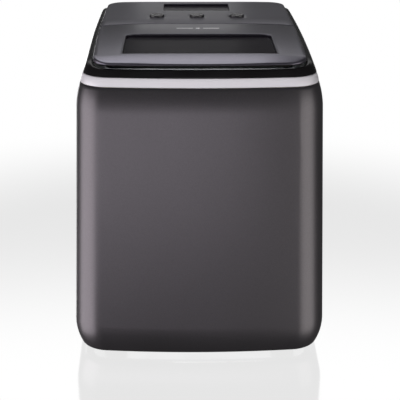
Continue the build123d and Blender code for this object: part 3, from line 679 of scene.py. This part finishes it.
# %% [markdown]
# ### Skin with openings
# Each skin starts as one flat face, cut into a grid so that it can bend. An opening is a
# rectangle of that grid that is deleted, and its edge is bridged to the opening's own ring.
# The rim turns down in a few rings, which roll its edge as the mould does.

# %% Skin with openings
def cut_lines(bm, faces_at, x_lines, y_lines):
    for axis, lines in ((0, x_lines), (1, y_lines)):
        for line in lines:
            flat = [f for f in bm.faces if abs(f.calc_center_median().z - faces_at) < 1e-6]
            geometry = flat + list({e for f in flat for e in f.edges})
            geometry += list({v for f in flat for v in f.verts})
            point = [0, 0, 0]
            normal = [0, 0, 0]
            point[axis] = line
            normal[axis] = 1
            bmesh.ops.bisect_plane(bm, geom=geometry, plane_co=point, plane_no=normal)


def clear_rectangle(bm, z, x0, x1, y0, y1):
    """Deletes the flat faces in a rectangle and returns the edges around the hole."""
    gone = []
    for face in bm.faces:
        c = face.calc_center_median()
        if abs(c.z - z) < 1e-6 and x0 < c.x < x1 and y0 < c.y < y1:
            gone.append(face)
    region = set(gone)
    rim = [e for f in gone for e in f.edges if any(g not in region for g in e.link_faces)]
    bmesh.ops.delete(bm, geom=gone, context="FACES")
    return [e for e in set(rim) if e.is_valid]


def circle_ring(bm, x, y, z, radius):
    made = bmesh.ops.create_circle(bm, segments=CIRCLE_POINTS, radius=radius)["verts"]
    bmesh.ops.translate(bm, vec=(x, y, z), verts=made)
    return list({e for v in made for e in v.link_edges})


CIRCLE_POINTS = 40
UNDERCUT = 3.4 * MM
NOSE = 1.3 * MM
UNDERCUT_RUN = 3 * MM
SEAM_SHARE = 0.25
TIGHT_CORNER = 0.3 * MM
SEAM_CORNER = 0.6 * MM


def skin(front_y, back_y, front_radius, back_radius, bow, seam, x_lines, y_lines):
    """The flat skin with its rolled edge, before it is crowned. The edge at the seam between
    lid and panel is much tighter: seam is -1 if it is in front and 1 if it is at the back.
    The panel's front is undercut below its nose, so that the lid's back can swing past."""
    bm = bmesh.new()
    middle = (lid_low.y + panel_high.y) / 2
    half_run = (panel_high.y - lid_low.y) / 2
    front_share = SEAM_SHARE if seam < 0 else 1
    back_share = SEAM_SHARE if seam > 0 else 1

    def edge_ring(z, inset, keep_face=False):
        below = min(max((TOP_Z - NOSE - z) / UNDERCUT_RUN, 0), 1) if seam < 0 else 0
        made = ring(bm, z, LID_HALF_WIDTH - inset,
                    front_y + front_share * inset + below * UNDERCUT,
                    back_y - back_share * inset, max(front_radius - inset, TIGHT_CORNER),
                    max(back_radius - inset, TIGHT_CORNER), bow, 0, keep_face)
        points = made.verts if keep_face else {v for e in made for v in e.verts}
        for v in points:
            along = (v.co.y - middle) / half_run
            v.co.x *= 1 + SIDE_BOW / LID_HALF_WIDTH * (1 - along ** 2)
        return made

    rings = [edge_ring(LIP_Z, 0.5 * MM), edge_ring(LIP_Z + 0.4 * MM, 0.0),
             edge_ring(TOP_Z - 2.2 * MM, 0.0), edge_ring(TOP_Z - 1.3 * MM, 0.2 * MM),
             edge_ring(TOP_Z - 0.6 * MM, 0.65 * MM), edge_ring(TOP_Z - 0.15 * MM, 1.4 * MM)]
    rings.append(edge_ring(TOP_Z - 0.03 * MM, 2.3 * MM))
    rings.append(list(edge_ring(TOP_Z, 3.4 * MM, keep_face=True).edges))
    bridge(bm, rings)
    cut_lines(bm, TOP_Z, x_lines, y_lines)
    return bm


SIDE_LINES = [s * x * MM for s in (-1, 1) for x in (56, 64, 72, 84, 90, 96, 100)]
print("grid lines across a skin:", len(SIDE_LINES))

# %% [markdown]
# ### Lid shell
# The lid is moulded with an opening for its window. The opening's rolled edge catches the
# light, and the grid is closer in front of it, where the lid slopes down to its lip.

# %% Lid shell
SKIN_THICKNESS = 1.6 * MM
RIM_MARGIN = 3 * MM
WINDOW_GRIP = 4 * MM
win_x = window_high.x - WINDOW_GRIP
win_front = window_low.y + WINDOW_GRIP
win_back = window_high.y - WINDOW_GRIP


def window_ring(bm, z, grow):
    return ring(bm, z, win_x + grow, win_front - grow, win_back + grow, 2 * MM + grow,
                9 * MM + grow)


def lid_shell():
    side, front, back = win_x + RIM_MARGIN, win_front - RIM_MARGIN, win_back + RIM_MARGIN
    y_lines = [front, back]
    y_lines += [front - step * MM for step in (3, 6.5, 10, 13.5, 17)]
    bm = skin(lid_low.y, lid_high.y, OPENING_RADIUS, SEAM_CORNER, LID_BOW, 1,
              SIDE_LINES + [-side, side], y_lines)
    rings = [clear_rectangle(bm, TOP_Z, -side, side, front, back)]
    for grow, down in ((0.9, 0.03), (0.45, 0.12), (0.15, 0.42), (0.0, 0.9), (0.0, 2.9)):
        rings.append(window_ring(bm, TOP_Z - down * MM, grow * MM))
    bridge(bm, rings)
    crown(bm)
    return bm


piece("lid_cover", lid_shell(), "lid", lid_paint, ["lid_shell"],
      SKIN_THICKNESS, 0, crease=55)

# %% [markdown]
# ### Control panel
# The panel continues the lid's surface to the back of the machine. It has a rounded
# rectangular opening over the display, and three round ones that the buttons stand in.

# %% Control panel
DISPLAY_GRIP = 3 * MM
BUTTON_CELL = 12 * MM
BACK_LINES = [152 * MM, 156 * MM]
disp_x = lens_high.x - DISPLAY_GRIP
disp_front = lens_low.y + DISPLAY_GRIP
disp_back = lens_high.y - DISPLAY_GRIP
button_radius = 8.1 * MM
button_y = (button_low.y + button_high.y) / 2
button_xs = [(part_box(n)[0].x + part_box(n)[1].x) / 2
             for n in ("power_button", "select_button", "clean_button")]


def control_panel():
    side = disp_x + RIM_MARGIN
    front, back = disp_front - RIM_MARGIN, disp_back + RIM_MARGIN
    near, far = button_y - BUTTON_CELL, button_y + BUTTON_CELL
    x_lines = SIDE_LINES + [-side, side]
    for x in button_xs:
        x_lines += [x - BUTTON_CELL, x + BUTTON_CELL]
    bm = skin(panel_low.y, panel_high.y, SEAM_CORNER, OPENING_RADIUS, 0, -1, x_lines,
              [near, far, front, back] + BACK_LINES)
    rings = [clear_rectangle(bm, TOP_Z, -side, side, front, back)]
    for grow, down in ((0.6, 0.03), (0.25, 0.1), (0.0, 0.5), (0.0, 2.4)):
        rings.append(ring(bm, TOP_Z - down * MM, disp_x + grow * MM, disp_front - grow * MM,
                          disp_back + grow * MM, (2 + grow) * MM, (2 + grow) * MM))
    bridge(bm, rings)
    for x in button_xs:
        rings = [clear_rectangle(bm, TOP_Z, x - BUTTON_CELL, x + BUTTON_CELL, near, far)]
        for grow, down in ((0.7, 0.03), (0.42, 0.12), (0.35, 0.45), (0.35, 2.6)):
            rings.append(circle_ring(bm, x, button_y, TOP_Z - down * MM,
                                     button_radius + grow * MM))
        bridge(bm, rings)
    crown(bm)
    return bm


piece("panel_cover", control_panel(), "cabinet", lid_paint, ["control_panel"],
      SKIN_THICKNESS, 0, crease=55)

# %% [markdown]
# ### Window and display lens
# Each is a thin smoked plate with a soft edge, glued under the skin so that it lies a few
# millimetres below the surface. A plate is a stack of rings closed by one face at each end.

# %% Window and lens
def plate(low, high, inset, front_radius, back_radius):
    """A flat plate with a small rounded edge; its faces end in an inner ring so that their
    shading stays flat."""
    bm = bmesh.new()
    levels = ((low.z, 2.0), (low.z, 0.4), (low.z + 0.3 * MM, 0), (high.z - 0.3 * MM, 0),
              (high.z - 0.08 * MM, 0.1), (high.z, 0.4), (high.z, 2.0))
    rings = []
    for z, extra in levels:
        edge = inset + extra * MM
        rings.append(ring(bm, z, high.x - edge, low.y + edge, high.y - edge,
                          front_radius, back_radius))
    bridge(bm, rings)
    for edges in (rings[0], rings[-1]):
        bmesh.ops.contextual_create(bm, geom=edges)
    return bm


window_corner = Vector((window_high.x, window_high.y, TOP_Z - 2.75 * MM))
lens_corner = Vector((lens_high.x, lens_high.y, TOP_Z - 2.3 * MM))
piece("window_plate", plate(window_low, window_corner, 0.5 * MM, 5 * MM, 11 * MM),
      "lid", window_smoke, ["lid_window"], 0, 0, crease=30)
piece("display_plate", plate(lens_low, lens_corner, 0.5 * MM, 4 * MM, 4 * MM),
      "cabinet", display_smoke, ["display_lens"], 0, 0, crease=30)

# %% [markdown]
# ### Push buttons
# The buttons are low discs with rounded shoulders and dished tops that fit a fingertip. Each
# is turned from its profile, a list of radii and heights from the top's middle outwards.

# %% Push buttons
SPIN_STEPS = 56
BUTTON_FOOT_Z = TOP_Z - 3.2 * MM
button_black = gloss_plastic("button_black", (0.030, 0.028, 0.032), 0.24, 0.6)


def spun(profile, x, y):
    """A turned shape from (radius, height) points."""
    bm = bmesh.new()
    points = [bm.verts.new((r, 0, z)) for r, z in profile]
    edges = [bm.edges.new(pair) for pair in zip(points, points[1:])]
    bmesh.ops.spin(bm, geom=points + edges, cent=(0, 0, 0), axis=(0, 0, 1), angle=TAU,
                   steps=SPIN_STEPS, use_merge=True)
    bmesh.ops.remove_doubles(bm, verts=bm.verts, dist=1e-6)
    bmesh.ops.translate(bm, vec=(x, y, 0), verts=bm.verts)
    return bm


for name, x in zip(("power_button", "select_button", "clean_button"), button_xs):
    top = button_high.z
    r = button_radius
    profile = [(0, top - 0.5 * MM), (r * 0.35, top - 0.45 * MM), (r * 0.6, top - 0.28 * MM),
               (r * 0.8, top - 0.05 * MM), (r * 0.88, top), (r * 0.95, top - 0.12 * MM),
               (r * 0.99, top - 0.4 * MM), (r, top - 0.8 * MM), (r, BUTTON_FOOT_Z),
               (0, BUTTON_FOOT_Z)]
    piece(name + "_cap", spun(profile, x, button_y), name, button_black, [name],
          0, 0, crease=60)

# %% [markdown]
# ### Mark
# The mark is two thin bars with a small six-armed ice crystal between them, a generic sign
# with no letters. It is printed thick enough to be felt, so it is a very low relief.

# %% Mark on the lid
mark_low, mark_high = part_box("lid_badge")
mark_y = (mark_low.y + mark_high.y) / 2
BAR_START = 5.5 * MM
BAR_END = 23 * MM
BAR_HALF_WIDTH = 0.9 * MM
ARM_LENGTH = 2.4 * MM
ARM_HALF_WIDTH = 0.55 * MM
ARM_STEP = 0.01 * MM


def lid_mark():
    bm = bmesh.new()
    z0 = TOP_Z - 0.05 * MM
    z1 = TOP_Z + 0.2 * MM
    for side in (-1, 1):
        x0, x1 = sorted((side * BAR_START, side * BAR_END))
        slab(bm, x0, x1, mark_y - BAR_HALF_WIDTH, mark_y + BAR_HALF_WIDTH, z0, z1)
    for turn in range(3):
        arm = slab(bm, -ARM_LENGTH, ARM_LENGTH, -ARM_HALF_WIDTH, ARM_HALF_WIDTH, z0,
                   z1 - turn * ARM_STEP)
        angle = turn * math.pi / 3
        for v in arm:
            x, y = v.co.x, v.co.y
            v.co.x = x * math.cos(angle) - y * math.sin(angle)
            v.co.y = x * math.sin(angle) + y * math.cos(angle) + mark_y
    return bm


mark_silver = moulded_plastic("mark_silver", (0.80, 0.79, 0.82), 0.40)
piece("lid_mark", lid_mark(), "lid", mark_silver, ["lid_badge"], 0, 0)

# %% [markdown]
# ## Moulded parts inside
# Plastic parts leave their moulds with small rounded edges that catch the light. Each part
# here is copied from the frame, its loose triangles are merged and its flat faces joined, and
# a narrow bevel runs along its sharp edges. The parts show through the open lid, on the back
# and under the base.

# %% Rounded copies of the inner parts
MERGE_DISTANCE = 0.01 * MM
FLAT_ANGLE = math.radians(1)


def moulded(name, body, material, edge):
    bm = bmesh.new()
    bm.from_mesh(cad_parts[name].data)
    bmesh.ops.remove_doubles(bm, verts=bm.verts, dist=MERGE_DISTANCE)
    bmesh.ops.dissolve_limit(bm, angle_limit=FLAT_ANGLE, verts=bm.verts, edges=bm.edges)
    obj = piece(name + "_moulded", bm, body, material, [name], 0, edge)
    obj.modifiers["rounding"].harden_normals = True


for name, body, material, edge in (
        ("inner_liner", "cabinet", white_plastic, 0.8),
        ("ice_basket", "basket", white_plastic, 0.4),
        ("lid_inner_frame", "lid", black_plastic, 0.5),
        ("water_tray", "tray", grey_plastic, 0.5),
        ("ice_shovel", "tray", grey_plastic, 0.4),
        ("evaporator", "cabinet", nickel, 0.5),
        ("rear_cover", "cabinet", black_plastic, 0.3),
        ("power_inlet", "cabinet", black_plastic, 0.3),
        ("drain_plug", "plug", grey_plastic, 0.4),
        ("rubber_feet", "cabinet", rubber_black, 0.6),
        ("water_pump", "cabinet", grey_plastic, 0.5),
        ("tray_motor", "cabinet", grey_plastic, 0.5)):
    moulded(name, body, material, edge * MM)

# %% [markdown]
# ## Floor
# The machine stands on a pale, slightly polished floor that runs into a white background.
# The floor glows by itself, so it stays white whatever the lights do, and near the machine
# a share of it mirrors the machine's foot.

# %% Floor
FLOOR_HALF_SIZE = 8
FLOOR_SHINE = 0.22


def floor_finish():
    finish = Finish("floor_pale", (0.8, 0.8, 0.8), 0.1)
    finish.tree.nodes.remove(finish.shader)
    clouds = finish.noise(2, 2)
    glow = finish.node("ShaderNodeEmission", {}, Color=(1, 1, 1, 1), Strength=1.0)
    sheen = finish.node("ShaderNodeBsdfGlossy", {}, Color=(1, 1, 1, 1),
                        Roughness=0.05 + clouds * 0.06)
    reach = finish.node("ShaderNodeVectorMath", {"operation": "LENGTH", "output": 1},
                        finish.place)
    shine = FLOOR_SHINE * (1 - reach.ramp(0.35, 0.75))
    floor_mix = finish.node("ShaderNodeMixShader", {}, shine, glow, sheen)
    output = finish.tree.nodes["Material Output"]
    finish.tree.links.new(floor_mix.output, output.inputs["Surface"])
    return finish.material


floor_mesh = bpy.data.meshes.new("floor")
floor_bm = bmesh.new()
bmesh.ops.create_grid(floor_bm, x_segments=2, y_segments=2, size=FLOOR_HALF_SIZE)
floor_bm.to_mesh(floor_mesh)
floor_bm.free()
floor_mesh.materials.append(floor_finish())
floor = bpy.data.objects.new("floor", floor_mesh)
bpy.context.scene.collection.objects.link(floor)
floor.visible_diffuse = False
floor.visible_glossy = False
floor.visible_shadow = False
print("floor", 2 * FLOOR_HALF_SIZE, "m across")

# %% [markdown]
# ## Lights
# The studio is mostly dark, as with black cards round a shiny product, so that each large
# soft light shows as one clear reflection: a wide one on the cabinet's left corner, a faint
# one over its front, a narrower one on its right corner, and one from behind and above that
# slides down the lid's front slope. A small one behind brightens the middle of the lid, and
# one more serves the back wall. The upright walls mirror what is low, so their lights stand
# low too. The fill light lifts only the matt surfaces.

# %% Lights
AIM_HEIGHT = 0.16


def soft_light(name, turn, height_angle, distance, width, height, brightness,
               tint=(1, 1, 1)):
    """A softbox aimed at the machine; turn is 0 in front and grows to the right."""
    turn = math.radians(turn)
    height_angle = math.radians(height_angle)
    flat = distance * math.cos(height_angle)
    centre = Vector((0, 0, AIM_HEIGHT))
    place = centre + Vector((flat * math.sin(turn), -flat * math.cos(turn),
                             distance * math.sin(height_angle)))
    lamp = bpy.data.lights.new(name, "AREA")
    lamp.shape = "RECTANGLE"
    lamp.size = width
    lamp.size_y = height
    lamp.energy = brightness * math.pi * width * height
    lamp.color = tint
    obj = bpy.data.objects.new(name, lamp)
    obj.location = place
    obj.rotation_euler = (centre - place).to_track_quat("-Z", "Y").to_euler()
    obj.visible_camera = False
    bpy.context.scene.collection.objects.link(obj)
    return obj


soft_light("front_light", -14, -10, 1.6, 1.5, 0.38, 2.2, (1.0, 0.96, 1.0))
soft_light("left_light", -74, -14, 1.6, 1.8, 1.6, 2.7, (1.0, 0.95, 0.96))
soft_light("right_light", 55, -12, 1.6, 1.5, 1.6, 1.75, (1.0, 0.98, 0.92))
soft_light("slope_light", -169, 56, 1.6, 0.85, 0.5, 3.15)
soft_light("back_light", 180, 10.5, 1.8, 0.26, 0.2, 0.7)
soft_light("rear_light", -170, -14, 1.7, 1.4, 0.9, 2.4)
fill_light = soft_light("fill_light", -10, 30, 2.0, 2.0, 2.0, 2.6)
fill_light.visible_glossy = False
print("lights:", len(bpy.data.lights))

# %% [markdown]
# ## Surroundings
# The background is white to the camera. In reflections the room is nearly black, apart from
# a bright band low behind the machine that keeps the polished floor's mirror white.

# %% Surroundings
ROOM_GLOW = 0.08
BAND_GLOW = 0.95
BEHIND = (0.6, 0.85)
BAND_FOOT = (0.33, 0.43)
BAND_HEAD = (0.52, 0.62)


def studio_world():
    world = bpy.data.worlds.new("studio")
    world.use_nodes = True
    tree = world.node_tree
    dark = tree.nodes["Background"]
    dark.inputs[0].default_value = (1, 1, 1, 1)
    place = tree.nodes.new("ShaderNodeTexCoord")
    split = tree.nodes.new("ShaderNodeSeparateXYZ")
    tree.links.new(place.outputs["Generated"], split.inputs[0])

    def step(output, low, high, low_value=0.0, high_value=1.0):
        node = tree.nodes.new("ShaderNodeMapRange")
        node.interpolation_type = "SMOOTHSTEP"
        tree.links.new(output, node.inputs[0])
        for socket, value in zip(node.inputs[1:5], (low, high, low_value, high_value)):
            socket.default_value = value
        return node.outputs[0]

    def product(a, b):
        node = tree.nodes.new("ShaderNodeMath")
        node.operation = "MULTIPLY"
        tree.links.new(a, node.inputs[0])
        tree.links.new(b, node.inputs[1])
        return node.outputs[0]

    behind = product(product(step(split.outputs[1], *BEHIND),
                             step(split.outputs[2], *BAND_FOOT)),
                     step(split.outputs[2], *BAND_HEAD, 1.0, 0.0))
    strength = tree.nodes.new("ShaderNodeMath")
    strength.operation = "MULTIPLY_ADD"
    tree.links.new(behind, strength.inputs[0])
    strength.inputs[1].default_value = BAND_GLOW
    strength.inputs[2].default_value = ROOM_GLOW
    tree.links.new(strength.outputs[0], dark.inputs[1])
    white = tree.nodes.new("ShaderNodeBackground")
    white.inputs[0].default_value = (1, 1, 1, 1)
    path = tree.nodes.new("ShaderNodeLightPath")
    both = tree.nodes.new("ShaderNodeMixShader")
    tree.links.new(path.outputs["Is Camera Ray"], both.inputs[0])
    tree.links.new(dark.outputs[0], both.inputs[1])
    tree.links.new(white.outputs[0], both.inputs[2])
    tree.links.new(both.outputs[0], tree.nodes["World Output"].inputs[0])
    return world


bpy.context.scene.world = studio_world()
bpy.context.scene.view_settings.view_transform = "Standard"
print("world", bpy.context.scene.world.name)

# %% [markdown]
# ## Camera
# The camera looks from a little above, almost straight in front. Its long lens keeps the
# cabinet's upright lines nearly parallel.

# %% Camera
LENS = 115.1
CAMERA_PLACE = (-0.0208, -1.3726, 0.5771)
CAMERA_DOWN = math.radians(18.523)
CAMERA_TURN = -0.0172
CAMERA_ROLL = 0.0022
camera = bpy.data.objects.new("camera", bpy.data.cameras.new("camera"))
camera.data.sensor_width = 36
camera.data.lens = LENS
camera.location = CAMERA_PLACE
look = Euler((math.pi / 2 - CAMERA_DOWN, 0, CAMERA_TURN)).to_matrix()
camera.rotation_euler = (look @ Matrix.Rotation(CAMERA_ROLL, 3, "Z")).to_euler()
bpy.context.scene.collection.objects.link(camera)
bpy.context.scene.camera = camera
print("camera", [round(v, 3) for v in camera.location])
